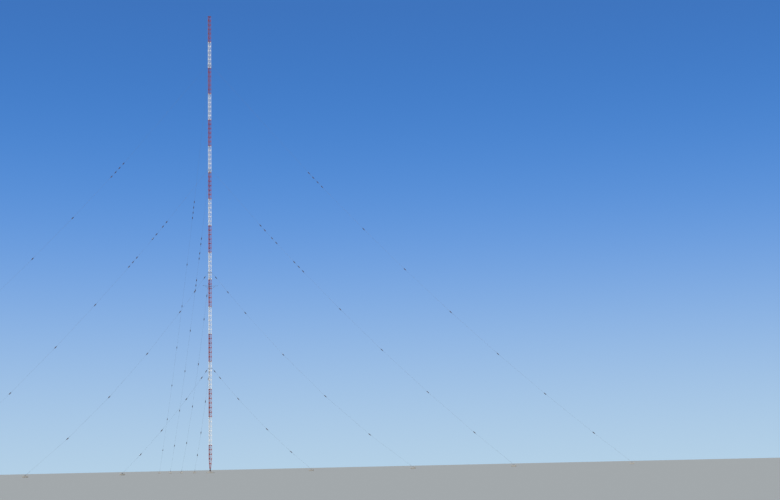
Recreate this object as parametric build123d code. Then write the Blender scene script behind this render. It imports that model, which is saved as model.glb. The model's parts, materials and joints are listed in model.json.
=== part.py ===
from build123d import *
import math
import os

# Guyed lattice radio mast, a model at one tenth of the real size, in millimetres.
# The origin is the middle of the foundation's underside, at ground level, with +Z up.
# Three guy directions, 120 degrees apart, lead away from the three legs of the mast.
# A guy level is numbered from the lowest, 1, to the highest, 4.

# Mast body
guy_directions = (-15.0, 105.0, 225.0)
leg_spacing = 160.0
leg_radius = 8.0
leg_sides = 6
bay_height = 252.0
bays_per_section = 6
lowest_bay_count = 5
section_count = 17
tapered_bays = 2
strut_width = 10.0
brace_radius = 3.7
brace_sides = 3
bays_between_struts = 2
node_inset = 12.0

# Foot of the mast
footing_width = 400.0
footing_height = 30.0
pedestal_width = 220.0
pedestal_height = 50.0
pedestal_chamfer = 12.0
bed_plate_width = 120.0
bed_plate_corner = 30.0
bed_plate_height = 6.0
round_sides = 24
insulator_radius = 42.0
insulator_waist_radius = 30.0
insulator_cap_height = 14.0
insulator_height = 110.0
shoe_flange_radius = 46.0
shoe_flange_height = 8.0
shoe_neck_radius = 30.0
shoe_neck_top_radius = 20.0
shoe_height = 56.0
shoe_head_height = 10.0
shoe_head_sides = 6
shoe_leg_circle = 42.0
shoe_head_margin = 6.0

# Head of the mast
head_plate_height = 4.0
head_plate_margin = 6.0
head_opening_radius = 40.0
head_opening_sides = 6

# Collars that take the guys: the section each is on and the bay in that section
collar_bays = ((4, 5), (8, 2), (12, 1), (16, 1))
collar_height = 10.0
collar_face_gap = 2.0
collar_width = 14.0
lug_radius = 13.0
lug_sides = 8
lug_thickness = 6.0
lug_reach = 12.0
lug_root_gap = 1.0
seat_gap = 0.3

# Spreader frame part way up the mast
spreader_bay = (7, 5)
spreader_reach = 470.0
spreader_arm_width = 9.0
spreader_tie_width = 6.0
spreader_tie_drop = 150.0
spreader_tie_foot = 5.0
spreader_tie_share = 0.6

# Guys: radius of each anchor, and the sag in the middle of the guy
anchor_radii = (5680.0, 11190.0, 16460.0, 22400.0)
guy_sags = (290.0, 780.0, 780.0, 1180.0)
rope_radius = 2.0
rope_sides = 4
rope_gap = 0.2

# Guy insulators: how far down the guy from the mast each string starts, and how many
# insulators that string has in a row
string_places = (
    (105.0, 545.0, 2015.0, 4300.0, 6200.0),
    (235.0, 1195.0, 2605.0, 5595.0, 8855.0, 12205.0),
    (3950.0, 4890.0, 6685.0, 10305.0, 13515.0, 16975.0, 20405.0),
    (7950.0, 12275.0, 15445.0, 18885.0, 22335.0, 25705.0, 29105.0),
)
string_counts = (
    (1, 1, 1, 1, 1),
    (1, 1, 1, 1, 1, 1),
    (2, 2, 3, 1, 1, 1, 1),
    (4, 1, 1, 1, 1, 1, 1),
)
string_pitch = 350.0
guy_insulator_length = 190.0
guy_insulator_radius = 23.0
guy_insulator_end_radius = 8.0
guy_insulator_sides = 5

# Guy anchors
block_length = 240.0
block_width = 130.0
block_height = 80.0
block_nose = 60.0
block_nose_height = 40.0
anchor_lug_height = 44.0
anchor_pin_share = 0.6
anchor_lug_length = 70.0
anchor_lug_thickness = 10.0
tensioner_length = 260.0
tensioner_radius = 7.0
tensioner_sides = 6

round_flat_share = math.cos(math.pi / round_sides)
leg_circle = leg_spacing / math.sqrt(3)
face_distance = leg_circle / 2
belt_distance = collar_face_gap + brace_radius
collar_corner = leg_circle + leg_radius + collar_width
lug_pin_radius = collar_corner + lug_reach
footing_top = footing_height
pedestal_top = footing_top + pedestal_height
bed_plate_top = pedestal_top + bed_plate_height
insulator_top = bed_plate_top + insulator_height
lattice_bottom = insulator_top + shoe_height


def section_bottom(number):
    """Height of the underside of a section, counted from 1 at the foot."""
    if number == 1:
        return lattice_bottom
    lowest = lowest_bay_count * bay_height
    return lattice_bottom + lowest + (number - 2) * bays_per_section * bay_height


def polar(radius, angle, height):
    """Point at a radius, an azimuth in degrees and a height."""
    return Vector(
        radius * math.cos(math.radians(angle)),
        radius * math.sin(math.radians(angle)),
        height,
    )


def bar(start, end, radius, sides):
    """Straight bar of a regular section, with one corner level with its axis."""
    run = end - start
    section = Plane(origin=start, x_dir=Vector(0, 0, 1).cross(run), z_dir=run)
    return extrude(section * RegularPolygon(radius, sides), amount=run.length)


def square_bar(start, end, width):
    """Straight bar of square section, with two faces upright."""
    run = end - start
    section = Plane(origin=start, x_dir=Vector(0, 0, 1).cross(run), z_dir=run)
    return extrude(section * Rectangle(width, width), amount=run.length)


def angle_bar(start, end, radius, outward):
    """Brace between two points, three-sided as an angle section is, with its back outward."""
    run = end - start
    section = Plane(origin=start, x_dir=-outward, z_dir=run)
    return extrude(section * RegularPolygon(radius, brace_sides), amount=run.length)


def leg(points, angle):
    """One leg of a section through points of radius and height, cut off level at its foot."""
    centres = [polar(radius, angle, height) for radius, height in points]
    start = Plane(origin=centres[0], x_dir=polar(1, angle, 0), z_dir=centres[1] - centres[0])
    profile = start * RegularPolygon(leg_radius, leg_sides)
    return sweep(profile, path=Polyline(*centres), transition=Transition.RIGHT)


def lattice(nodes, leg_points, first_leg):
    """Three legs with struts and zigzag braces between nodes of radius and height."""
    pieces = [leg(leg_points, angle) for angle in guy_directions]
    for side in range(3):
        ends = (guy_directions[side], guy_directions[(side + 1) % 3])
        outward = -polar(1, guy_directions[side - 1], 0)
        for count in range(0, len(nodes) - 1, bays_between_struts):
            radius, height = nodes[count]
            start = polar(radius, ends[0], height)
            pieces.append(square_bar(start, polar(radius, ends[1], height), strut_width))
        for count, (low, high) in enumerate(zip(nodes, nodes[1:])):
            turn = (count + first_leg) % 2
            start = polar(low[0], ends[turn], low[1])
            end = polar(high[0], ends[1 - turn], high[1])
            pieces.append(angle_bar(start, end, brace_radius, outward))
    return pieces[0].fuse(*pieces[1:]).clean()


def node_heights(bays):
    """Heights of the bracing nodes of a section, kept inside its two ends."""
    heights = [count * bay_height for count in range(bays + 1)]
    heights[0] = node_inset
    heights[-1] -= node_inset
    return heights


def straight_section():
    """A section of constant width, standing on height zero."""
    nodes = [(leg_circle, height) for height in node_heights(bays_per_section)]
    points = [(leg_circle, 0), (leg_circle, bays_per_section * bay_height)]
    return lattice(nodes, points, 0)


def tapered_section():
    """The lowest section, whose legs draw together down to the shoe."""
    taper_height = tapered_bays * bay_height
    slope = (leg_circle - shoe_leg_circle) / taper_height
    below = leg_radius

    def radius_at(height):
        return min(leg_circle, shoe_leg_circle + slope * height)

    nodes = [(radius_at(height), height) for height in node_heights(lowest_bay_count)]
    points = [
        (radius_at(-below), -below),
        (leg_circle, taper_height),
        (leg_circle, lowest_bay_count * bay_height),
    ]
    whole = lattice(nodes, points, 1)
    return split(whole, bisect_by=Plane.XY, keep=Keep.TOP)


def triangle_plate(face_offset, height):
    """Triangular plate whose edges lie face_offset outside the faces of the mast."""
    corner = (face_distance + face_offset) * 2
    return extrude(Rot(0, 0, guy_directions[0]) * RegularPolygon(corner, 3), amount=height)


def blunted(plate, corner_distance, height):
    """Plate with its corners cut off square at a distance from the mast's axis."""
    trim = Rot(0, 0, guy_directions[0] + 180) * RegularPolygon(2 * corner_distance, 3)
    return plate & extrude(trim, amount=height)


def collar_ring():
    """Flat belt round the mast, outside its bracing and notched round its legs."""
    ring = triangle_plate(belt_distance + collar_width, collar_height)
    ring -= triangle_plate(belt_distance, collar_height)
    for angle in guy_directions:
        notch = RegularPolygon(leg_radius + seat_gap * 2 / math.sqrt(3), leg_sides)
        ring -= Pos(*polar(leg_circle, angle, 0)) * Rot(0, 0, angle) * extrude(notch, amount=collar_height)
    return blunted(ring, collar_corner, collar_height)


def anchor_pin_height():
    """Height of the pin that holds a guy to its anchor."""
    return block_height + anchor_lug_height * anchor_pin_share


def bay_middle(section, bay):
    """Height of the middle of a bay, counted from 1 in its section."""
    return section_bottom(section) + (bay - 0.5) * bay_height


def lug_pin_height(level):
    """Height of the pin that holds a guy to its collar."""
    return bay_middle(*collar_bays[level])


def collar(level):
    """Collar of one guy level with its three lugs."""
    height = lug_pin_height(level)
    ring = Pos(0, 0, height - collar_height / 2) * collar_ring()
    inner = leg_circle + leg_radius + seat_gap + lug_root_gap
    outline = Pos((inner + lug_pin_radius) / 2, 0) * Rectangle(lug_pin_radius - inner, 2 * lug_radius)
    outline += Pos(lug_pin_radius, 0) * Rot(0, 0, 180 / lug_sides) * RegularPolygon(
        lug_radius, lug_sides, major_radius=False
    )
    lug = extrude(Plane.XZ * outline, amount=lug_thickness / 2, both=True)
    for angle in guy_directions:
        ring += Rot(0, 0, angle) * Pos(0, 0, height) * lug
    return ring


def spreader():
    """Three long arms on a collar, each with a tie that comes back to its leg lower down."""
    height = bay_middle(*spreader_bay)
    frame = Pos(0, 0, height - collar_height / 2) * collar_ring()
    inner = leg_circle + leg_radius + seat_gap + lug_root_gap
    middle = inner + (spreader_reach - inner) * spreader_tie_share
    arm = square_bar(Vector(inner, 0, height), Vector(spreader_reach, 0, height), spreader_arm_width)
    foot = Vector(inner + spreader_tie_foot, 0, height - spreader_tie_drop)
    tie = square_bar(foot, Vector(middle, 0, height), spreader_tie_width)
    for angle in guy_directions:
        frame += Rot(0, 0, angle) * (arm + tie)
    return frame


def guy_point(level, place):
    """Point of a guy in its upright plane, at a distance down its chord from the collar pin."""
    run = anchor_radii[level] - lug_pin_radius
    drop = lug_pin_height(level) - anchor_pin_height()
    share = place / math.hypot(run, drop)
    sag = 4 * guy_sags[level] * share * (1 - share)
    return Vector(lug_pin_radius + run * share, 0, lug_pin_height(level) - drop * share - sag)


def guy_length(level):
    """Straight distance from a collar pin to its anchor pin."""
    run = anchor_radii[level] - lug_pin_radius
    return math.hypot(run, lug_pin_height(level) - anchor_pin_height())


def insulator_middles(level):
    """Distances down the guy of all its insulators."""
    first = guy_insulator_length / 2
    return [
        place + first + turn * string_pitch
        for place, count in zip(string_places[level], string_counts[level])
        for turn in range(count)
    ]


def guy_stops(level):
    """Pairs of points where the insulators and the tensioner of a guy begin and end."""
    stops = []
    for place in insulator_middles(level):
        middle = guy_point(level, place)
        ahead = (guy_point(level, place + 1) - guy_point(level, place - 1)).normalized()
        half = ahead * (guy_insulator_length / 2)
        stops.append((middle - half, middle + half))
    end = guy_point(level, guy_length(level))
    before = guy_point(level, guy_length(level) - tensioner_length)
    stops.append((before, end))
    return stops


def guy_ropes(level):
    """Straight spans of rope between the insulators of one guy."""
    spans = []
    start = guy_point(level, 0)
    gap = lug_radius + seat_gap
    for begin, end in guy_stops(level):
        run = (begin - start).normalized()
        spans.append(bar(start + run * gap, begin - run * rope_gap, rope_radius, rope_sides))
        start = end
        gap = rope_gap
    return spans


def guy_insulator():
    """Porcelain body of one insulator, drawn in from its middle to both ends, along Z."""
    flat_share = math.cos(math.pi / guy_insulator_sides)
    half_length = guy_insulator_length / 2
    draw_in = (guy_insulator_radius - guy_insulator_end_radius) * flat_share
    middle = RegularPolygon(guy_insulator_radius, guy_insulator_sides)
    half = extrude(middle, amount=half_length, taper=math.degrees(math.atan(draw_in / half_length)))
    return half + mirror(half, about=Plane.XY)


def guy_insulators(level):
    """All insulators of one guy level, in its three directions."""
    body = guy_insulator()
    bodies = []
    for begin, end in guy_stops(level)[:-1]:
        seat = Plane(origin=(begin + end) / 2, x_dir=Vector(0, 1, 0), z_dir=end - begin)
        bodies.append(seat.location * body)
    return [Rot(0, 0, angle) * body for angle in guy_directions for body in bodies]


def anchor_block(level):
    """Concrete block that holds one guy, with a sloped nose towards the mast."""
    back = block_length / 2
    outline = Polyline(
        (-back, 0),
        (back, 0),
        (back, block_height),
        (-back + block_nose, block_height),
        (-back, block_nose_height),
        close=True,
    )
    block = extrude(Plane.XZ * make_face(outline), amount=block_width / 2, both=True)
    return Pos(anchor_radii[level], 0, 0) * block


def anchor_fitting(level):
    """Anchor lug on its block and the tensioner that joins it to the rope."""
    begin, end = guy_stops(level)[-1]
    body = bar(begin, end, tensioner_radius, tensioner_sides)
    lug = Pos(anchor_radii[level], 0, block_height + anchor_lug_height / 2) * Box(
        anchor_lug_length, anchor_lug_thickness, anchor_lug_height
    )
    return body + lug


def foundation():
    """Footing and pedestal in one pour, with a chamfered top edge."""
    footing = Pos(0, 0, footing_height / 2) * Box(footing_width, footing_width, footing_height)
    pedestal = Pos(0, 0, footing_top + pedestal_height / 2) * Box(
        pedestal_width, pedestal_width, pedestal_height
    )
    pedestal = chamfer(pedestal.faces().sort_by(Axis.Z)[-1].edges(), pedestal_chamfer)
    return footing + pedestal


def turned(bottom, *steps):
    """Round body made with flat sides, from steps of lower radius, upper radius and height."""
    body = None
    for lower, upper, height in steps:
        foot = Pos(0, 0, bottom) * RegularPolygon(lower, round_sides)
        slant = math.degrees(math.atan((lower - upper) * round_flat_share / height))
        step = extrude(foot, amount=height, taper=slant)
        body = step if body is None else body + step
        bottom += height
    return body


def base_insulator():
    """Porcelain body that carries the mast, drawn in between its two caps."""
    cap = (insulator_radius, insulator_radius, insulator_cap_height)
    half = insulator_height / 2 - insulator_cap_height
    return turned(
        bed_plate_top,
        cap,
        (insulator_radius, insulator_waist_radius, half),
        (insulator_waist_radius, insulator_radius, half),
        cap,
    )


def shoe():
    """Steel shoe on the insulator: a flange, a neck and a head that carries the three legs."""
    neck_height = shoe_height - shoe_flange_height - shoe_head_height
    body = turned(
        insulator_top,
        (shoe_flange_radius, shoe_flange_radius, shoe_flange_height),
        (shoe_neck_radius, shoe_neck_top_radius, neck_height),
    )
    head_radius = shoe_leg_circle + leg_radius + shoe_head_margin
    head = Rot(0, 0, guy_directions[0]) * RegularPolygon(head_radius, shoe_head_sides)
    return body + Pos(0, 0, lattice_bottom - shoe_head_height) * extrude(head, amount=shoe_head_height)


def bed_plate():
    """Steel plate with cut corners, between the pedestal and the insulator."""
    plate = Box(bed_plate_width, bed_plate_width, bed_plate_height)
    plate = chamfer(plate.edges().filter_by(Axis.Z), bed_plate_corner)
    return Pos(0, 0, pedestal_top + bed_plate_height / 2) * plate


def head_plate():
    """Plate that closes the top of the mast, with an opening for the climber."""
    top = section_bottom(section_count + 1)
    plate = triangle_plate(leg_radius + head_plate_margin, head_plate_height)
    plate = blunted(plate, leg_circle + leg_radius + head_plate_margin, head_plate_height)
    plate -= extrude(RegularPolygon(head_opening_radius, head_opening_sides), amount=head_plate_height)
    return Pos(0, 0, top) * plate


def write(name, *solids):
    """Write one node, made of one solid or of several that don't touch."""
    node = solids[0] if len(solids) == 1 else Compound(children=list(solids))
    export_step(node, f"parts/{name}.step")


os.makedirs("parts", exist_ok=True)

write("foundation", foundation())
write("bed_plate", bed_plate())
write("base_insulator", base_insulator())
write("base_shoe", shoe())

section = straight_section()
write("mast_section_01", Pos(0, 0, section_bottom(1)) * tapered_section())
for number in range(2, section_count + 1):
    write(f"mast_section_{number:02d}", Pos(0, 0, section_bottom(number)) * section)
write("head_plate", head_plate())
write("spreader_frame", spreader())

for level in range(len(collar_bays)):
    name = level + 1
    write(f"guy_collar_{name}", collar(level))
    write(f"guy_insulators_{name}", *guy_insulators(level))
    ropes = guy_ropes(level)
    for way, angle in enumerate(guy_directions, 1):
        write(f"guy_rope_{name}_{way}", *(Rot(0, 0, angle) * rope for rope in ropes))

for way, angle in enumerate(guy_directions, 1):
    levels = range(len(collar_bays))
    write(f"anchor_blocks_{way}", *(Rot(0, 0, angle) * anchor_block(level) for level in levels))
    write(f"anchor_fittings_{way}", *(Rot(0, 0, angle) * anchor_fitting(level) for level in levels))
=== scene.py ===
"""Dresses the radio mast: paint bands, lattice detail, guys, insulators, anchors and foot.

All sizes are in metres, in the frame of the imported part, which is a model at one tenth of the
real mast. The origin is the middle of the foundation's underside, with +Z up the mast.
"""

import json
import logging
import math
from collections.abc import Iterable, Sequence
from dataclasses import dataclass
from enum import Enum

import bmesh
import bpy
from bmesh.types import BMesh
from bpy.types import Material, Node, NodeSocket, NodeTree
from mathutils import Matrix, Vector

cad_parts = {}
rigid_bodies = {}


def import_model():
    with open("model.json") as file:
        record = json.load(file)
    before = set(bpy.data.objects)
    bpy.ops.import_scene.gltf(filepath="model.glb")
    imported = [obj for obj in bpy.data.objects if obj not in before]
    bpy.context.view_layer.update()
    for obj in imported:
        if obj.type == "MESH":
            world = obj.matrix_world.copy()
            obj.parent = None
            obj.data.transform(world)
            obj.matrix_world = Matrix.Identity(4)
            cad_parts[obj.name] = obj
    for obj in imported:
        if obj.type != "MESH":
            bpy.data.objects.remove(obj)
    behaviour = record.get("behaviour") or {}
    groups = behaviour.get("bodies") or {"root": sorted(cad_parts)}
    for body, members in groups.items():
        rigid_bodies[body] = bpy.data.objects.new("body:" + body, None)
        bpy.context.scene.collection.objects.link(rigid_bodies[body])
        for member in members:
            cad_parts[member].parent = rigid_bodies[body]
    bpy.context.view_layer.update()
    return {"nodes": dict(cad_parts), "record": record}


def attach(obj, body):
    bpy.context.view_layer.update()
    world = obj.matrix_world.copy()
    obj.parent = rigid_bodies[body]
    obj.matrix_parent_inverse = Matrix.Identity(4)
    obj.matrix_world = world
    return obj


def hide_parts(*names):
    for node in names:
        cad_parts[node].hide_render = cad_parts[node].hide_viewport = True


for leftover in list(bpy.data.objects):
    bpy.data.objects.remove(leftover)
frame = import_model()

LOG = logging.getLogger("radio_mast")
SIDEWAYS = Vector((0.0, 1.0, 0.0))
UP = Vector((0.0, 0.0, 1.0))
Outline = Sequence[tuple[float, float]]
Colour = tuple[float, float, float]
Size = tuple[float, float, float]
# Length, radius, number of flat sides and, for a taper, end radius of a rod
Bar = tuple[float, ...]
# Radius and height of a bolt's head
Head = tuple[float, float]


class Slot(Enum):
    """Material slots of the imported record."""

    RED = "red_paint"
    WHITE = "white_paint"
    STEEL = "galvanised_steel"
    WIRE = "guy_wire"
    BROWN = "brown_porcelain"
    BASE = "base_porcelain"
    CONCRETE = "concrete"


@dataclass(frozen=True)
class Finish:
    """A material, with the slot of the record that it stands for."""

    material: Material
    slot: Slot | None = None


# Places and directions


def polar(radius: float, angle: float, height: float) -> Vector:
    """Return the point at a radius, an azimuth in degrees and a height."""
    turn = math.radians(angle)
    return Vector((radius * math.cos(turn), radius * math.sin(turn), height))


def turned_to(angle: float, axis: str = "Z") -> Matrix:
    """Return the turn by an angle in degrees about an axis."""
    return Matrix.Rotation(math.radians(angle), 4, axis)


def around(count: int, first: float = 0.0) -> list[Matrix]:
    """Return a number of even turns about Z, from a first angle in degrees."""
    return [turned_to(first + 360.0 * turn / count) for turn in range(count)]


def moved(x: float = 0.0, y: float = 0.0, z: float = 0.0) -> Matrix:
    """Return the shift by x, y and z."""
    return Matrix.Translation((x, y, z))


def lifted(*heights: float) -> list[Matrix]:
    """Return the places at some heights on the Z axis."""
    return [moved(z=height) for height in heights]


def pair(aside: float, height: float = 0.0) -> list[Matrix]:
    """Return the two places at a height on either side of the Z axis, along X."""
    return [moved(side, 0.0, height) for side in (-aside, aside)]


def crosswise(start: float, height: float = 0.0) -> Matrix:
    """Return the place at a height whose Z runs along +X, from a start on that line."""
    return moved(z=height) @ turned_to(90.0, "Y") @ moved(z=start)


def upright(wall: float) -> Matrix:
    """Return the turn that stands a plate up in the plane of X and Z, with its wall centred."""
    return turned_to(90.0, "X") @ moved(z=-wall / 2)


def each(seats: Iterable[Matrix], spots: Sequence[Matrix]) -> list[Matrix]:
    """Return every spot on every seat."""
    return [seat @ spot for seat in seats for spot in spots]


def axes(origin: Vector, along: Vector, side: Vector) -> Matrix:
    """Return the place whose Z runs along a direction and whose X leans to a side.

    Args:
        origin: Where the place is.
        along: Direction of its Z axis.
        side: Direction that its X axis is nearest to.

    Returns:
        The matrix of the place.
    """
    z_axis = along.normalized()
    x_axis = (side - z_axis * side.dot(z_axis)).normalized()
    place = Matrix((x_axis, z_axis.cross(x_axis), z_axis)).transposed().to_4x4()
    place.translation = origin
    return place


def aimed(start: Vector, end: Vector) -> Matrix:
    """Return the place at one point whose Z runs to another.

    Args:
        start: Where the place is.
        end: Where its Z axis points.

    Returns:
        The matrix of the place, with X level unless the run is nearly upright.
    """
    run = end - start
    nearly_upright = abs(run.normalized().z) > 0.99
    return axes(start, run, Vector((1.0, 0.0, 0.0)) if nearly_upright else UP.cross(run))


# Shapes, each a new small mesh that a workpiece takes in


def rod(length: float, radius: float, sides: int = 8, end_radius: float | None = None) -> BMesh:
    """Make a round or flat-sided rod along +Z from the origin.

    Args:
        length: Length of the rod.
        radius: Radius at the origin.
        sides: Number of flat sides.
        end_radius: Radius at the far end, if the rod tapers.

    Returns:
        The closed shape.
    """
    shape = bmesh.new()
    top = radius if end_radius is None else end_radius
    bmesh.ops.create_cone(
        shape, cap_ends=True, segments=sides, radius1=radius, radius2=top, depth=length,
        matrix=moved(z=length / 2),
    )
    return shape


def block(width: float, depth: float, height: float, ease: float = 0.0, steps: int = 2) -> BMesh:
    """Make a rectangular block, centred on the origin.

    Args:
        width: Size along X.
        depth: Size along Y.
        height: Size along Z.
        ease: How far its edges are bevelled.
        steps: Number of flats across each bevel.

    Returns:
        The closed shape.
    """
    shape = bmesh.new()
    bmesh.ops.create_cube(shape, size=1.0, matrix=Matrix.Diagonal((width, depth, height, 1.0)))
    if ease:
        bmesh.ops.bevel(
            shape, geom=shape.edges, offset=ease, segments=steps, profile=0.5, material=-1,
            affect="EDGES",
        )
    return shape


def plate(outline: Outline, thickness: float) -> BMesh:
    """Make a flat plate of an outline in the XY plane, grown along +Z.

    Args:
        outline: Corners in order.
        thickness: How far the outline is extruded.

    Returns:
        The closed shape.
    """
    shape = bmesh.new()
    face = shape.faces.new([shape.verts.new((x, y, 0.0)) for x, y in outline])
    grown = bmesh.ops.extrude_face_region(shape, geom=[face])["geom"]
    corners = [part for part in grown if isinstance(part, bmesh.types.BMVert)]
    bmesh.ops.translate(shape, vec=UP * thickness, verts=corners)
    bmesh.ops.recalc_face_normals(shape, faces=shape.faces)
    return shape


def turned(profile: Outline, steps: int) -> BMesh:
    """Make a body of revolution about Z.

    Args:
        profile: Radius and height of each point, starting and ending on the axis.
        steps: Number of flat sides round the axis.

    Returns:
        The closed shape.
    """
    shape = bmesh.new()
    points = [shape.verts.new((radius, 0.0, height)) for radius, height in profile]
    edges = [shape.edges.new(ends) for ends in zip(points, points[1:])]
    bmesh.ops.spin(
        shape, geom=points + edges, cent=(0, 0, 0), axis=UP, angle=math.tau, steps=steps,
        use_merge=True, use_duplicate=False,
    )
    bmesh.ops.remove_doubles(shape, verts=shape.verts, dist=1e-6)
    bmesh.ops.recalc_face_normals(shape, faces=shape.faces)
    return shape


def tube(path: Sequence[Vector], radius: float, sides: int) -> BMesh:
    """Make a round bar that follows a path, with mitred corners and closed ends.

    Args:
        path: Points of the centre line.
        radius: Radius of the bar.
        sides: Number of flat sides.

    Returns:
        The closed shape.
    """
    shape = bmesh.new()
    runs = [(after - before).normalized() for before, after in zip(path, path[1:])]
    aims = [runs[0], *((a + b).normalized() for a, b in zip(runs, runs[1:])), runs[-1]]
    side = runs[0].orthogonal()
    rings = []
    for point, aim in zip(path, aims):
        ring = bmesh.ops.create_circle(
            shape, cap_ends=False, segments=sides, radius=radius, matrix=axes(point, aim, side)
        )["verts"]
        rings.append(list(dict.fromkeys(edge for vert in ring for edge in vert.link_edges)))
    for lower, upper in zip(rings, rings[1:]):
        bmesh.ops.bridge_loops(shape, edges=lower + upper)
    bmesh.ops.holes_fill(shape, edges=rings[0] + rings[-1], sides=sides)
    bmesh.ops.recalc_face_normals(shape, faces=shape.faces)
    return shape


def bent(path: Outline, radius: float, sides: int) -> BMesh:
    """Make a round bar that follows a path of radii and heights in the plane of +X."""
    return tube([Vector((out, 0.0, height)) for out, height in path], radius, sides)


def bolt(radius: float, height: float) -> BMesh:
    """Make a hexagon bolt head on the XY plane, with the end of its shank on top.

    Args:
        radius: Radius of the head over its corners.
        height: Height of the head.

    Returns:
        The two closed shapes.
    """
    shape = rod(height, radius, sides=6)
    shank_foot, shank_tip, shank_length, shank_middle = 0.55, 0.45, 0.7, 1.3
    bmesh.ops.create_cone(
        shape, cap_ends=True, segments=6, radius1=radius * shank_foot, radius2=radius * shank_tip,
        depth=height * shank_length, matrix=moved(z=height * shank_middle),
    )
    return shape


def ribbed(
    core: float, shed: Outline, count: int, low: float, high: float, margin: float, steps: int
) -> BMesh:
    """Make a ribbed porcelain body about Z.

    Args:
        core: Radius between the sheds.
        shed: How far each point of a shed stands out from the core, and its share of the pitch.
        count: Number of sheds.
        low: Height where the first shed's pitch starts.
        high: Height where the last one's ends.
        margin: How far the core runs on at both ends.
        steps: Number of flat sides round the axis.

    Returns:
        The closed shape.
    """
    pitch = (high - low) / count
    foot, head = low - margin, high + margin
    sheds = [
        (core + out, low + (turn + share) * pitch) for turn in range(count) for out, share in shed
    ]
    # Where one shed ends on the point that the next one starts on, that point counts once
    profile = dict.fromkeys([(0.0, foot), (core, foot), *sheds, (core, head), (0.0, head)])
    return turned(list(profile), steps)


def placed(name: str, data: bpy.types.ID) -> bpy.types.Object:
    """Link a new object into the scene.

    Args:
        name: Name of the object.
        data: What it holds.

    Returns:
        The object.
    """
    made = bpy.data.objects.new(name, data)
    bpy.context.scene.collection.objects.link(made)
    return made


class Workpiece:
    """A mesh in the making, which takes in shapes and becomes one named piece."""

    def __init__(self, name: str) -> None:
        """Start an empty workpiece.

        Args:
            name: Name of the piece that it becomes.
        """
        self.name = name
        self.mesh = bmesh.new()
        self.carrier = bpy.data.meshes.new("carrier")

    def add(self, shape: BMesh, places: Iterable[Matrix] = (Matrix.Identity(4),)) -> None:
        """Take in a shape at each of some places, and free the shape.

        Args:
            shape: The small mesh to copy.
            places: Where its copies go.
        """
        for place in places:
            shape.to_mesh(self.carrier)
            self.carrier.transform(place)
            self.mesh.from_mesh(self.carrier)
        shape.free()

    def bar(self, start: Vector, end: Vector, radius: float, sides: int = 8) -> None:
        """Take in a straight rod from start to end."""
        self.add(rod((end - start).length, radius, sides), [aimed(start, end)])

    def as_shape(self) -> BMesh:
        """End this workpiece and hand over what it holds.

        Returns:
            One shape, which another workpiece can take in.
        """
        self.mesh.to_mesh(self.carrier)
        self.mesh.free()
        shape = bmesh.new()
        shape.from_mesh(self.carrier)
        bpy.data.meshes.remove(self.carrier)
        return shape

    def finish(
        self, finish: Finish, replaces: Sequence[str] = (), smooth_below: float = 40.0
    ) -> None:
        """Turn the workpiece into an object that rides on the mast.

        Args:
            finish: Its material, and a slot that is not used here.
            replaces: CAD nodes that it stands for.
            smooth_below: Edges sharper than this angle in degrees stay sharp.
        """
        data = bpy.data.meshes.new(self.name)
        self.mesh.to_mesh(data)
        self.mesh.free()
        bpy.data.meshes.remove(self.carrier)
        data.materials.append(finish.material)
        data.polygons.foreach_set("use_smooth", [True] * len(data.polygons))
        data.set_sharp_from_angle(angle=math.radians(smooth_below))
        piece = placed(self.name, data)
        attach(piece, "root")
        if replaces:
            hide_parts(*replaces)
        data.calc_loop_triangles()
        LOG.info("%s: %d triangles", self.name, len(data.loop_triangles))


# Finishes


def feed(node: Node, inputs: dict) -> None:
    """Set inputs of a node to values, or link them to source sockets.

    Args:
        node: The node.
        inputs: Values and source sockets, by the name or number of the input.
    """
    for key, value in inputs.items():
        if isinstance(value, NodeSocket):
            node.id_data.links.new(value, node.inputs[key])
        else:
            node.inputs[key].default_value = value


def new_node(tree: NodeTree, kind: str, inputs: dict | None = None, **settings: object) -> Node:
    """Add a shader node to a tree, with its settings, values and links.

    Args:
        tree: The tree that takes it in.
        kind: The node's type, without the ShaderNode that it starts with.
        inputs: Values and source sockets, by the name or number of the input.
        **settings: Properties of the node.

    Returns:
        The node.
    """
    made = tree.nodes.new("ShaderNode" + kind)
    for name, value in settings.items():
        setattr(made, name, value)
    feed(made, inputs or {})
    return made


@dataclass(frozen=True)
class Patches:
    """Soft patches: their noise, the two levels that it rises between, and their share."""

    scale: float
    detail: float
    low: float
    high: float
    share: float = 1.0
    stretch: Colour | None = None


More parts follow.
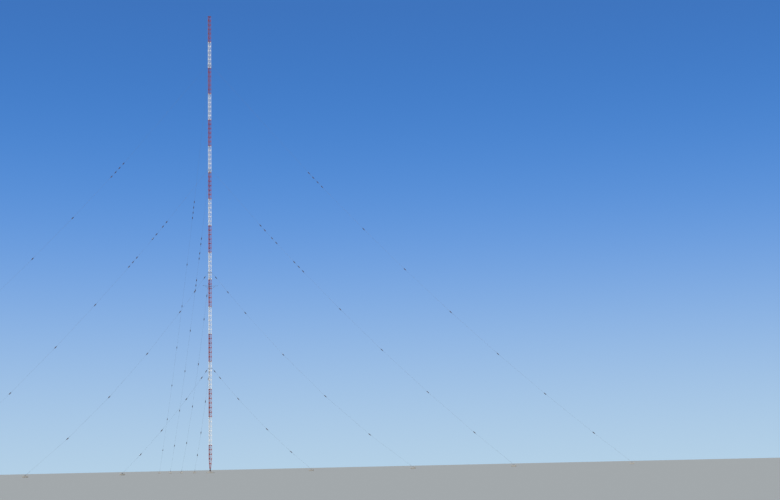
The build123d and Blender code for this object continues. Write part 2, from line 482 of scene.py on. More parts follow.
class Recipe:
    """A material in the making: a bare colour, the coats over it, its relief and its gloss."""

    def __init__(self, name: str, bare: Colour) -> None:
        """Start a material that reads object coordinates.

        Args:
            name: Name of the material.
            bare: Colour under all coats.
        """
        self.material = bpy.data.materials.new(name)
        self.material.use_nodes = True
        self.tree = self.material.node_tree
        self.surface = self.tree.nodes["Principled BSDF"]
        self.place = self.node("TexCoord").outputs["Object"]
        self.colour: object = (*bare, 1.0)

    def node(self, kind: str, inputs: dict | None = None, **settings: object) -> Node:
        """Add a node to the material."""
        return new_node(self.tree, kind, inputs, **settings)

    def height(self) -> NodeSocket:
        """Return the height above the ground."""
        return self.node("SeparateXYZ", {0: self.place}).outputs[2]

    def cells(self, scale: float, output: str) -> NodeSocket:
        """Return the colour of cells, or the distance from their middles."""
        return self.node("TexVoronoi", {"Vector": self.place, "Scale": scale}).outputs[output]

    def maths(self, operation: str, *values: object) -> NodeSocket:
        """Return the result of an operation on sockets and numbers."""
        return self.node("Math", dict(enumerate(values)), operation=operation).outputs[0]

    def times(self, first: NodeSocket, second: object) -> NodeSocket:
        """Return the product of a socket and a socket or number."""
        return self.maths("MULTIPLY", first, second)

    def plus(self, first: NodeSocket, second: object) -> NodeSocket:
        """Return the sum of a socket and a socket or number."""
        return self.maths("ADD", first, second)

    def step(self, value: NodeSocket, low: float, high: float, to: float = 1.0) -> NodeSocket:
        """Return a smooth step from 0 below low to a share above high."""
        inputs = {"Value": value, "From Min": low, "From Max": high, "To Min": 0.0, "To Max": to}
        return self.node("MapRange", inputs, interpolation_type="SMOOTHSTEP").outputs[0]

    def noise(self, scale: float, detail: float, stretch: Colour | None = None) -> NodeSocket:
        """Make soft noise between 0 and 1.

        Args:
            scale: How fine it is.
            detail: How many finer layers it has.
            stretch: Scale of the coordinates along each axis.

        Returns:
            The socket of the noise.
        """
        place = self.place
        if stretch:
            place = self.node("Mapping", {"Vector": place, "Scale": stretch}).outputs[0]
        inputs = {"Vector": place, "Scale": scale, "Detail": detail}
        return self.node("TexNoise", inputs).outputs["Fac"]

    def patches(self, kind: Patches) -> NodeSocket:
        """Return the share that some patches cover at each point."""
        noise = self.noise(kind.scale, kind.detail, kind.stretch)
        return self.step(noise, kind.low, kind.high, kind.share)

    def coat(self, share: NodeSocket | Patches, over: Colour) -> None:
        """Lay a colour over the colour so far.

        Args:
            share: How much of it covers each point.
            over: The colour.
        """
        share = self.patches(share) if isinstance(share, Patches) else share
        inputs = {0: share, 6: self.colour, 7: (*over, 1.0)}
        self.colour = self.node("Mix", inputs, data_type="RGBA").outputs[2]

    def relief(self, strength: float, distance: float, height: NodeSocket) -> None:
        """Roughen the surface by a height."""
        inputs = {"Strength": strength, "Distance": distance, "Height": height}
        feed(self.surface, {"Normal": self.node("Bump", inputs).outputs[0]})

    def dress(self, roughness: object, **constants: float) -> Material:
        """Give the surface its colour, roughness and constants.

        Args:
            roughness: Socket or value for the roughness.
            **constants: Plain values, by socket name with low lines for spaces.

        Returns:
            The material.
        """
        plain = {name.replace("_", " "): value for name, value in constants.items()}
        feed(self.surface, {"Base Color": self.colour, "Roughness": roughness} | plain)
        return self.material


@dataclass(frozen=True)
class BandPaint:
    """Old paint on steel: faded by the sun, streaked below the joints and chipped to rust."""

    name: str
    fresh: Colour
    faded: Colour
    grime: Colour = (0.12, 0.10, 0.09)
    rust: Colour = (0.16, 0.055, 0.02)
    fading: Patches = Patches(0.9, 4.0, 0.35, 0.68)
    streaks: Patches = Patches(5.0, 4.0, 0.56, 0.80, 0.45, (16.0, 16.0, 0.7))
    runs: Patches = Patches(30.0, 5.0, 0.47, 0.72, 1.0, (1.0, 1.0, 0.12))
    chips: Patches = Patches(85.0, 8.0, 0.655, 0.68)
    sheen: Patches = Patches(11.0, 3.0, 0.3, 0.75, 0.25)
    joint_pitch: float = 1.512
    stain_length: float = 0.16
    stain_share: float = 0.75
    skin: tuple[float, float] = (420.0, 2.0)
    skin_share: float = 0.25
    relief: tuple[float, float] = (0.35, 0.0006)
    roughness: float = 0.48
    specular: float = 0.4

    def make(self) -> Material:
        """Mix the paint.

        Returns:
            The material.
        """
        recipe = Recipe(self.name, self.fresh)
        recipe.coat(self.fading, self.faded)
        recipe.coat(self.streaks, self.grime)
        drop = recipe.maths("WRAP", recipe.height(), self.joint_pitch, 0.0)
        under_joint = recipe.step(drop, self.joint_pitch - self.stain_length, self.joint_pitch)
        stain = recipe.times(under_joint, recipe.patches(self.runs))
        stain = recipe.times(stain, self.stain_share)
        chips = recipe.patches(self.chips)
        recipe.coat(recipe.maths("MAXIMUM", stain, chips), self.rust)
        skin = recipe.times(recipe.noise(*self.skin), self.skin_share)
        recipe.relief(*self.relief, recipe.maths("SUBTRACT", skin, chips))
        roughness = recipe.plus(recipe.patches(self.sheen), self.roughness)
        return recipe.dress(roughness, Specular_IOR_Level=self.specular)


@dataclass(frozen=True)
class ZincCoat:
    """Hot-dip galvanised steel: crystal spangle, dulled, with pale bloom and a little rust."""

    name: str
    bright: Colour
    dull: Colour
    rust_share: float = 0.5
    metallic: float = 0.55
    shade: Colour = (0.20, 0.21, 0.22)
    bloom: Colour = (0.55, 0.56, 0.55)
    rust: Colour = (0.15, 0.06, 0.028)
    dulling: Patches = Patches(6.0, 5.0, 0.32, 0.66)
    blooming: Patches = Patches(38.0, 6.0, 0.58, 0.72, 0.35)
    rusting: Patches = Patches(21.0, 8.0, 0.60, 0.74)
    spangle: float = 240.0
    spangle_share: float = 0.22
    grain: tuple[float, float] = (160.0, 3.0)
    relief: tuple[float, float] = (0.25, 0.0004)
    roughness: float = 0.42
    spangle_roughness: float = 0.12

    def make(self) -> Material:
        """Dip the steel.

        Returns:
            The material.
        """
        recipe = Recipe(self.name, self.bright)
        crystals = recipe.cells(self.spangle, "Color")
        spangle = recipe.node("SeparateColor", {0: crystals}).outputs[0]
        recipe.coat(self.dulling, self.dull)
        recipe.coat(recipe.times(spangle, self.spangle_share), self.shade)
        recipe.coat(self.blooming, self.bloom)
        recipe.coat(recipe.times(recipe.patches(self.rusting), self.rust_share), self.rust)
        recipe.relief(*self.relief, recipe.plus(spangle, recipe.noise(*self.grain)))
        roughness = recipe.plus(recipe.times(spangle, self.spangle_roughness), self.roughness)
        return recipe.dress(roughness, Metallic=self.metallic)


@dataclass(frozen=True)
class StrandWire:
    """Twisted steel strand with painted shade between its wires, its lay cut in by the piece's own
    map.
    """

    name: str
    crown: Colour = (0.30, 0.31, 0.32)
    # Painted shade: the near-black colour of the grooves between the wires
    groove_shade: Colour = (0.055, 0.055, 0.055)
    grime: Colour = (0.11, 0.085, 0.07)
    soiling: Patches = Patches(3.0, 6.0, 0.45, 0.75, 0.5)
    wires: int = 7
    lay: float = 0.036
    crown_edges: tuple[float, float] = (0.04, 0.34)
    relief: tuple[float, float] = (0.8, 0.0006)
    roughness: float = 0.55
    metallic: float = 0.5

    def make(self) -> Material:
        """Lay the strand's wires.

        Returns:
            The material.
        """
        # The bare colour is the painted shade of the grooves, and the wires' crowns are coated over it
        recipe = Recipe(self.name, self.groove_shade)
        spot = recipe.node("UVMap", uv_map="lay").outputs[0]
        round_it, along_it, _ = recipe.node("SeparateXYZ", {0: spot}).outputs
        turns = recipe.times(round_it, float(self.wires))
        rise = recipe.maths("DIVIDE", along_it, self.lay)
        from_groove = recipe.maths("PINGPONG", recipe.plus(turns, rise), 0.5)
        crown = recipe.step(from_groove, *self.crown_edges)
        recipe.coat(crown, self.crown)
        recipe.coat(self.soiling, self.grime)
        recipe.relief(*self.relief, crown)
        return recipe.dress(self.roughness, Metallic=self.metallic)


@dataclass(frozen=True)
class GlazedPorcelain:
    """Brown glazed porcelain, darker where the glaze is thick and dusty on top of the sheds."""

    name: str
    thin: Colour
    thick: Colour
    dust: Colour = (0.24, 0.20, 0.16)
    thickening: Patches = Patches(26.0, 4.0, 0.35, 0.65)
    flatness: tuple[float, float] = (0.35, 0.95)
    dusting: tuple[float, float] = (75.0, 6.0)
    dust_share: float = 0.7
    ripple: tuple[float, float] = (140.0, 2.0)
    relief: tuple[float, float] = (0.15, 0.0004)
    roughness: float = 0.18
    dust_roughness: float = 0.55
    gloss: float = 0.3
    gloss_roughness: float = 0.16

    def make(self) -> Material:
        """Fire the glaze.

        Returns:
            The material.
        """
        recipe = Recipe(self.name, self.thin)
        recipe.coat(self.thickening, self.thick)
        facing = recipe.node("NewGeometry").outputs["Normal"]
        flat = recipe.step(recipe.node("SeparateXYZ", {0: facing}).outputs[2], *self.flatness)
        lying = recipe.times(flat, recipe.noise(*self.dusting))
        recipe.coat(recipe.times(lying, self.dust_share), self.dust)
        recipe.relief(*self.relief, recipe.noise(*self.ripple))
        roughness = recipe.plus(recipe.times(lying, self.dust_roughness), self.roughness)
        return recipe.dress(roughness, Coat_Weight=self.gloss, Coat_Roughness=self.gloss_roughness)


@dataclass(frozen=True)
class CastConcrete:
    """Cast concrete: board marks, pores, damp at the ground and streaks down its sides."""

    name: str
    pale: Colour = (0.47, 0.455, 0.42)
    dark: Colour = (0.30, 0.285, 0.255)
    sand: Colour = (0.60, 0.58, 0.53)
    damp: Colour = (0.13, 0.125, 0.10)
    clouding: Patches = Patches(9.0, 7.0, 0.30, 0.70)
    sanding: Patches = Patches(620.0, 3.0, 0.45, 0.70, 0.25)
    wetting: Patches = Patches(24.0, 6.0, 0.30, 0.62)
    streaks: Patches = Patches(60.0, 4.0, 0.55, 0.78, 0.35, (1.0, 1.0, 0.1))
    damp_height: float = 0.035
    damp_share: float = 0.8
    board: float = 0.011
    seam_share: float = 0.06
    seam_depth: float = 0.8
    pore_scale: float = 190.0
    pore_edges: tuple[float, float] = (0.05, 0.22)
    grain: tuple[float, float] = (90.0, 6.0)
    relief: tuple[float, float] = (0.5, 0.0008)
    roughness: float = 0.9
    specular: float = 0.25

    def make(self) -> Material:
        """Cast the concrete.

        Returns:
            The material.
        """
        recipe = Recipe(self.name, self.pale)
        recipe.coat(self.clouding, self.dark)
        recipe.coat(self.sanding, self.sand)
        dry = recipe.step(recipe.height(), 0.0, self.damp_height)
        wet = recipe.times(recipe.maths("SUBTRACT", 1.0, dry), recipe.patches(self.wetting))
        recipe.coat(recipe.times(wet, self.damp_share), self.damp)
        recipe.coat(self.streaks, self.damp)
        boards = recipe.maths("PINGPONG", recipe.height(), self.board / 2)
        seams = recipe.times(recipe.step(boards, 0.0, self.board * self.seam_share), self.seam_depth)
        pores = recipe.step(recipe.cells(self.pore_scale, "Distance"), *self.pore_edges)
        relief = recipe.plus(recipe.plus(seams, pores), recipe.noise(*self.grain))
        recipe.relief(*self.relief, relief)
        return recipe.dress(self.roughness, Specular_IOR_Level=self.specular)


@dataclass(frozen=True)
class LampGlass:
    """Red glass of the obstruction lamps, ribbed and a little dusty."""

    name: str
    glass: Colour = (0.42, 0.012, 0.010)
    dust: Colour = (0.30, 0.16, 0.13)
    dusting: Patches = Patches(90.0, 5.0, 0.45, 0.75, 0.5)
    rib: float = 0.0012
    relief: tuple[float, float] = (0.4, 0.0006)
    roughness: float = 0.16
    gloss: float = 0.5
    gloss_roughness: float = 0.05

    def make(self) -> Material:
        """Press the glass.

        Returns:
            The material.
        """
        recipe = Recipe(self.name, self.glass)
        recipe.coat(self.dusting, self.dust)
        ribs = recipe.maths("PINGPONG", recipe.height(), self.rib)
        recipe.relief(*self.relief, recipe.step(ribs, 0.0, self.rib))
        gloss = {"Coat_Weight": self.gloss, "Coat_Roughness": self.gloss_roughness}
        return recipe.dress(self.roughness, **gloss)


class Finishes:
    """All finishes of the mast, one for each slot and two more for small parts."""

    def __init__(self) -> None:
        """Make every finish."""
        coats = {
            Slot.RED: BandPaint("faded_red_paint", (0.335, 0.028, 0.021), (0.42, 0.105, 0.080)),
            Slot.WHITE: BandPaint("weathered_white_paint", (0.84, 0.85, 0.86), (0.78, 0.785, 0.78)),
            Slot.STEEL: ZincCoat("dull_zinc", (0.42, 0.44, 0.46), (0.30, 0.32, 0.335)),
            Slot.WIRE: StrandWire("guy_strand"),
            Slot.BROWN: GlazedPorcelain("brown_glaze", (0.105, 0.040, 0.020), (0.045, 0.018, 0.010)),
            Slot.BASE: GlazedPorcelain("chestnut_glaze", (0.155, 0.055, 0.025), (0.070, 0.025, 0.013)),
            Slot.CONCRETE: CastConcrete("cast_concrete"),
        }
        self.by_slot = {slot: Finish(coat.make(), slot) for slot, coat in coats.items()}
        self.steel = self.by_slot[Slot.STEEL]
        # A much darker copy of the zinc finish, with painted shade in its colour
        shaded = ZincCoat("shaded_zinc", (0.13, 0.13, 0.135), (0.075, 0.072, 0.07), 0.8, 0.35)
        self.shaded_steel = Finish(shaded.make(), Slot.STEEL)
        self.glass = Finish(LampGlass("lamp_glass").make())


# Plans that several parts share


@dataclass(frozen=True)
class ShaftPlan:
    """Sizes of the triangular shaft."""

    directions: tuple[float, ...] = (-15.0, 105.0, 225.0)
    spacing: float = 0.16
    leg_radius: float = 0.008
    bay: float = 0.252
    bays: int = 6
    lowest_bays: int = 5
    sections: int = 17
    bottom: float = 0.252
    inset: float = 0.012
    tapered_bays: int = 2
    foot_circle: float = 0.042

    @property
    def turns(self) -> list[Matrix]:
        """Turns that bring +X to each leg."""
        return [turned_to(angle) for angle in self.directions]

    @property
    def faces(self) -> list["Face"]:
        """The faces between the legs."""
        return [Face(self, side) for side in range(len(self.directions))]

    @property
    def leg_circle(self) -> float:
        """Distance of the legs from the mast's axis."""
        return self.spacing / math.sqrt(3)

    @property
    def knee(self) -> float:
        """Height below which the legs draw in."""
        return self.bottom + self.tapered_bays * self.bay

    @property
    def top(self) -> float:
        """Height of the shaft's upper end."""
        return self.section_bottom(self.sections + 1)

    def section_bottom(self, number: int) -> float:
        """Return the height of the underside of a section, counted from 1."""
        bays = self.lowest_bays + (number - 2) * self.bays if number > 1 else 0
        return self.bottom + bays * self.bay

    def nodes(self, section: int) -> list[float]:
        """Return where the struts and braces of a section meet the legs.

        Args:
            section: Number of the section, from 1.

        Returns:
            The heights, with the first and last moved in from the section's ends.
        """
        low, high = self.section_bottom(section), self.section_bottom(section + 1)
        inner = [low + turn * self.bay for turn in range(1, round((high - low) / self.bay))]
        return [low + self.inset, *inner, high - self.inset]

    def bay_middle(self, section: int, bay: int) -> float:
        """Return the height of the middle of a bay, counted from 1 in its section."""
        return self.section_bottom(section) + (bay - 0.5) * self.bay

    def radius_at(self, height: float) -> float:
        """Return how far the legs are from the axis at a height."""
        slope = (self.leg_circle - self.foot_circle) / (self.tapered_bays * self.bay)
        return min(self.leg_circle, self.foot_circle + slope * (height - self.bottom))


@dataclass(frozen=True)
class Face:
    """One face of the shaft, between two legs: places on it are given across, out and up."""

    plan: ShaftPlan
    side: int

    @property
    def outward(self) -> Vector:
        """Direction out of the face, away from the third leg."""
        return -polar(1.0, self.plan.directions[self.side - 1], 0.0)

    def leg_point(self, end: int, height: float, out: float = 0.0) -> Vector:
        """Return a point on the axis of one of its legs, moved outward from the face."""
        angle = self.plan.directions[(self.side + end) % len(self.plan.directions)]
        return polar(self.plan.radius_at(height), angle, height) + self.outward * out

    def across(self, height: float) -> Vector:
        """Return the run from its first leg to its second."""
        return self.leg_point(1, height) - self.leg_point(0, height)

    def middle(self, height: float, out: float = 0.0, aside: float = 0.0) -> Vector:
        """Return a point at the face's middle, moved outward and aside."""
        low, high = self.leg_point(0, height, out), self.leg_point(1, height, out)
        return (low + high) / 2 + (high - low).normalized() * aside

    def seat(
        self, height: float, out: float = 0.0, aside: float = 0.0, facing: Vector = UP
    ) -> Matrix:
        """Return the place of a point of the face, with X across it and Z up or down."""
        return axes(self.middle(height, out, aside), facing, self.across(height))


@dataclass(frozen=True)
class GuyPlan:
    """Where the guys run: their collars, anchors, sags and insulators, lowest level first."""

    shaft: ShaftPlan
    collar_bays: tuple[tuple[int, int], ...] = ((4, 5), (8, 2), (12, 1), (16, 1))
    anchor_radii: tuple[float, ...] = (5.68, 11.19, 16.46, 22.4)
    sags: tuple[float, ...] = (0.29, 0.78, 0.78, 1.18)
    strings: tuple[tuple[tuple[float, int], ...], ...] = (
        ((0.105, 1), (0.545, 1), (2.015, 1), (4.3, 1), (6.2, 1)),
        ((0.235, 1), (1.195, 1), (2.605, 1), (5.595, 1), (8.855, 1), (12.205, 1)),
        ((3.95, 2), (4.89, 2), (6.685, 3), (10.305, 1), (13.515, 1), (16.975, 1), (20.405, 1)),
        ((7.95, 4), (12.275, 1), (15.445, 1), (18.885, 1), (22.335, 1), (25.705, 1), (29.105, 1)),
    )
    string_pitch: float = 0.35
    insulator_length: float = 0.19
    lug_radius: float = 0.013
    lug_reach: float = 0.012
    collar_width: float = 0.014
    seat_gap: float = 0.0003
    pin_height: float = 0.1064
    tensioner: float = 0.26
    heading_step: float = 0.001

    @property
    def levels(self) -> range:
        """Numbers of the guy levels, from 0."""
        return range(len(self.collar_bays))

    @property
    def pin_radius(self) -> float:
        """Distance of the collar pins from the mast's axis."""
        return self.shaft.leg_circle + self.shaft.leg_radius + self.collar_width + self.lug_reach

    def collar_height(self, level: int) -> float:
        """Return the height of a level's collar."""
        return self.shaft.bay_middle(*self.collar_bays[level])

    def chord(self, level: int) -> tuple[float, float]:
        """Return how far out and how far down a guy's anchor pin lies from its collar pin."""
        run = self.anchor_radii[level] - self.pin_radius
        return run, self.collar_height(level) - self.pin_height

    def length(self, level: int) -> float:
        """Return the straight distance from a collar pin to its anchor pin."""
        return math.hypot(*self.chord(level))

    def point(self, level: int, place: float) -> Vector:
        """Return a point of a guy in the plane of +X.

        Args:
            level: Number of the guy's level.
            place: Distance of the point down the guy's chord.

        Returns:
            The point, lower than the chord by the sag there.
        """
        run, drop = self.chord(level)
        share = place / self.length(level)
        sag = 4 * self.sags[level] * share * (1 - share)
        height = self.collar_height(level) - drop * share - sag
        return Vector((self.pin_radius + run * share, 0.0, height))

    def insulators(self, level: int) -> list[Matrix]:
        """Return the places of a guy's insulators.

        Args:
            level: Number of the guy's level.

        Returns:
            Their places in the plane of +X, with Z down the guy.
        """
        places = []
        for begin, count in self.strings[level]:
            for turn in range(count):
                middle = begin + self.insulator_length / 2 + turn * self.string_pitch
                before, after = middle - self.heading_step, middle + self.heading_step
                ahead = self.point(level, after) - self.point(level, before)
                places.append(axes(self.point(level, middle), ahead, SIDEWAYS))
        return places

    def tensioner_ends(self, level: int) -> tuple[Vector, Vector]:
        """Return where a guy's tensioner starts and ends."""
        length = self.length(level)
        return self.point(level, length - self.tensioner), self.point(level, length)

    def spans(self, level: int) -> list[tuple[Vector, Vector]]:
        """Return the spans of rope of a guy.

        Args:
            level: Number of the guy's level.

        Returns:
            The two ends of each span, from the collar down.
        """
        half = UP * (self.insulator_length / 2)
        stops = [(place @ -half, place @ half) for place in self.insulators(level)]
        stops.append(self.tensioner_ends(level))
        first = self.point(level, 0.0)
        lead = (stops[0][0] - first).normalized() * (self.lug_radius + self.seat_gap)
        starts = [first + lead, *(end for _, end in stops)]
        return [(start, stop[0]) for start, stop in zip(starts, stops)]

    def lamp_height(self, level: int) -> float:
        """Return the height of the strut nearest to a collar that isn't at a section's end."""
        inner = self.shaft.nodes(self.collar_bays[level][0])[1:-1]
        return min(inner, key=lambda height: abs(height - self.collar_height(level)))


# Sub-assemblies


@dataclass
class SubAssembly:
    """Part of the mast that is built from the shared plans, in the shared finishes."""

    shaft: ShaftPlan
    guys: GuyPlan
    finishes: Finishes


@dataclass(frozen=True)
class LadderPlan:
    """Sizes and place of the climbing ladder inside the shaft, next to one face."""

    side: int = 1
    inside: float = -0.022
    width: float = 0.036
    aside: float = -0.007
    stile_radius: float = 0.0018
    rung_radius: float = 0.0011
    rung_pitch: float = 0.030
    bracket_radius: float = 0.0012
    bracket_end: float = -0.002
    start: float = 0.80
    joint: float = 0.001

    @property
    def stiles(self) -> tuple[float, float]:
        """Where the two stiles stand, aside from the face's middle."""
        return self.aside - self.width / 2, self.aside + self.width / 2


@dataclass
class PaintBand(SubAssembly):
    """One lattice section of the shaft, with everything that is painted with it."""

    number: int
    strut_radius: float = 0.0058
    brace_size: float = 0.0055
    brace_wall: float = 0.0010
    brace_backs: tuple[float, float] = (0.0019, -0.0052)
    brace_bolts: tuple[float, ...] = (0.024, 0.034)
    brace_bolt: Head = (0.0016, 0.0013)
    flange_radius: float = 0.0165
    foot_flange_radius: float = 0.0125
    flange_height: float = 0.003
    flange_bolts: int = 8
    flange_bolt: Head = (0.0016, 0.0016)
    flange_margin: float = 0.0032
    ribs: int = 4
    rib: Outline = ((0.0075, 0.003), (0.0150, 0.003), (0.0150, 0.0042), (0.0075, 0.016))
    rib_wall: float = 0.001
    gusset_wall: float = 0.0014
    gusset_back: float = -0.0036
    gusset_root: float = 0.004
    gusset_reach: float = 0.050
    gusset_corner: float = 0.014
    gusset_half: float = 0.030
    end_half: float = 0.009
    ladder: LadderPlan = LadderPlan()

    @property
    def low(self) -> float:
        """Height of its lower end."""
        return self.shaft.section_bottom(self.number)

    @property
    def high(self) -> float:
        """Height of its upper end."""
        return self.shaft.section_bottom(self.number + 1)

    def build(self) -> None:
        """Build the band and let it stand for its CAD node."""
        work = Workpiece(f"paint_band_{self.number:02d}")
        self.add_legs(work)
        self.add_flanges(work)
        for face in self.shaft.faces:
            self.add_face(work, face)
        self.add_ladder(work)
        paint = self.finishes.by_slot[Slot.RED if self.number % 2 else Slot.WHITE]
        work.finish(paint, [f"mast_section_{self.number:02d}"])

    def add_legs(self, work: Workpiece) -> None:
        """Add the three tubular legs, bent where the lowest section starts to draw in.

        Args:
            work: The workpiece that takes them in.
        """
        bends = [height for height in (self.shaft.knee,) if self.low < height < self.high]
        heights = (self.low, *bends, self.high)
        for angle in self.shaft.directions:
            path = [polar(self.shaft.radius_at(height), angle, height) for height in heights]
            work.add(tube(path, self.shaft.leg_radius, sides=16))

    def add_flanges(self, work: Workpiece) -> None:
        """Add the bolted flanges at both ends of each leg, with their ribs.

        Args:
            work: The workpiece that takes them in.
        """
        for height, facing in ((self.low, 1.0), (self.high, -1.0)):
            circle = self.shaft.radius_at(height)
            full = circle == self.shaft.leg_circle
            radius = self.flange_radius if full else self.foot_flange_radius
            foot = moved(circle, 0.0, height) @ Matrix.Diagonal((1.0, facing, facing, 1.0))
            seats = each(self.shaft.turns, [foot])
            work.add(rod(self.flange_height, radius, sides=20), seats)
            spot = moved(radius - self.flange_margin, 0.0, self.flange_height)
            work.add(bolt(*self.flange_bolt), each(seats, each(around(self.flange_bolts), [spot])))
            if full:
                turns = around(self.ribs, 180.0 / self.flange_bolts)
                spots = each(turns, [upright(self.rib_wall)])
                work.add(plate(self.rib, self.rib_wall), each(seats, spots))

    def add_face(self, work: Workpiece, face: Face) -> None:
        """Add the struts, crossing braces and gussets of one face.

        Args:
            work: The workpiece that takes them in.
            face: The face.
        """
        heights = self.shaft.nodes(self.number)
        for height in heights:
            work.bar(*(face.leg_point(end, height) for end in (0, 1)), self.strut_radius, sides=10)
            down = self.end_half if height == heights[0] else self.gusset_half
            up = self.end_half if height == heights[-1] else self.gusset_half
            self.add_gussets(work, face, height, down, up)
        for below, above in zip(heights, heights[1:]):
            for end, back in enumerate(self.brace_backs):
                foot, head = face.leg_point(end, below), face.leg_point(1 - end, above)
                self.add_brace(work, foot, head, face.outward, back)

    def add_brace(
        self, work: Workpiece, start: Vector, end: Vector, outward: Vector, back: float
    ) -> None:
        """Add one angle section with its bolts.

        Args:
            work: The workpiece that takes it in.
            start: Its lower end, on a leg's axis.
            end: Its upper end, on the other leg's axis.
            outward: Direction out of the face.
            back: How far its back lies outside the face's middle plane.
        """
        half, inner, far = self.brace_size / 2, back - self.brace_wall, back - self.brace_size
        toe = self.brace_wall - half
        outline = ((back, -half), (back, half), (inner, half), (inner, toe), (far, toe), (far, -half))
        run, trim = end - start, self.shaft.leg_radius
        ahead = run.normalized()
        work.add(plate(outline, run.length - 2 * trim), [axes(start + ahead * trim, run, outward)])
        spots = [spot for place in self.brace_bolts for spot in (place, run.length - place)]
        heads = [axes(start + ahead * spot + outward * back, outward, run) for spot in spots]
        work.add(bolt(*self.brace_bolt), heads)

    def add_gussets(
        self, work: Workpiece, face: Face, height: float, down: float, up: float
    ) -> None:
        """Add the two gusset plates of a node of a face.

        Args:
            work: The workpiece that takes them in.
            face: The face.
            height: Height of the node.
            down: How far the plates reach down from it.
            up: How far they reach up.
        """
        root, reach = self.gusset_root, self.gusset_reach
        neck, cut = reach - self.gusset_corner, self.gusset_corner / 2
        lower = [(root, -down), (neck, -down), (reach, cut - down)]
        upper = [(reach, up - cut), (neck, up), (root, up)]
        for end, hand in ((0, 1.0), (1, -1.0)):
            seat = axes(face.leg_point(end, height), face.outward, face.across(height) * hand)
            outline = [(out, rise * hand) for out, rise in lower + upper]
            work.add(plate(outline, self.gusset_wall), [seat @ moved(z=self.gusset_back)])

    def add_ladder(self, work: Workpiece) -> None:
        """Add this band's length of the climbing ladder, with its brackets to the struts.

        Args:
            work: The workpiece that takes it in.
        """
        plan, face = self.ladder, self.shaft.faces[self.ladder.side]
        low, high = max(self.low, plan.start) + plan.joint, self.high - plan.joint
        struts = [height for height in self.shaft.nodes(self.number) if height > low]
        feet = [face.middle(low, plan.inside, aside) for aside in plan.stiles]
        for aside, foot in zip(plan.stiles, feet):
            work.bar(foot, face.middle(high, plan.inside, aside), plan.stile_radius)
            for strut in struts:
                ends = [face.middle(strut, out, aside) for out in (plan.inside, plan.bracket_end)]
                work.bar(*ends, plan.bracket_radius, sides=6)
        count = int((high - low) / plan.rung_pitch)
        rungs = lifted(*((turn + 0.5) * plan.rung_pitch for turn in range(count)))
        work.add(rod(plan.width, plan.rung_radius, sides=5), each(rungs, [aimed(*feet)]))


